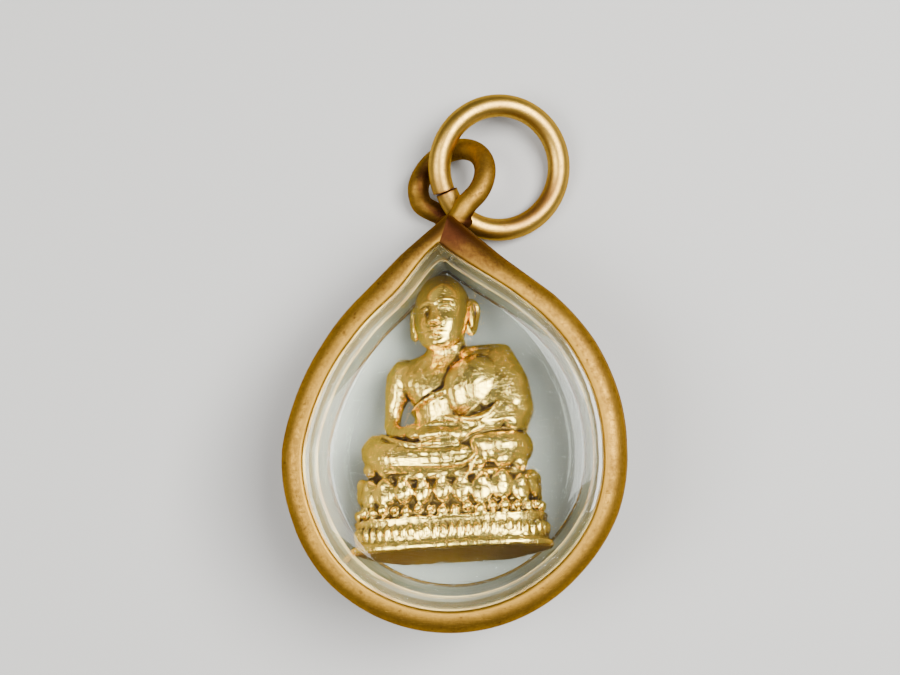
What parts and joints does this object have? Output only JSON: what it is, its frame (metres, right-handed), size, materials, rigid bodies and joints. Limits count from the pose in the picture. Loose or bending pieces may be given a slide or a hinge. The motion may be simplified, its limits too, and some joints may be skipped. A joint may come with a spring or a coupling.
{
  "type": "amulet pendant in a drop-shaped case",
  "caption": "Drop-shaped brass amulet case with clear windows, a gilt seated figure on a lotus base inside, a soldered wire bail and an open jump ring",
  "frame": {"origin": "at the surface that the pendant lies on, under the middle of the whole pendant", "axes": "+Y along the pendant to its bail and jump ring, +Z out of its front window, +X to the right as seen from the front"},
  "size_m": [0.0182, 0.0292, 0.009],
  "materials": {
    "case_brass": "aged satin brass, brown tarnish round the soldered point",
    "clear_cover": "clear acrylic, lightly scratched",
    "gold_plate": "bright gold plating on a cast figure",
    "ring_brass": "pale satin brass wire"
  },
  "bodies": {
    "root": {"case_frame": "case_brass", "back_cover": "clear_cover", "front_cover": "clear_cover", "figure": "gold_plate", "jump_ring": "ring_brass"}
  },
  "joints": []
}
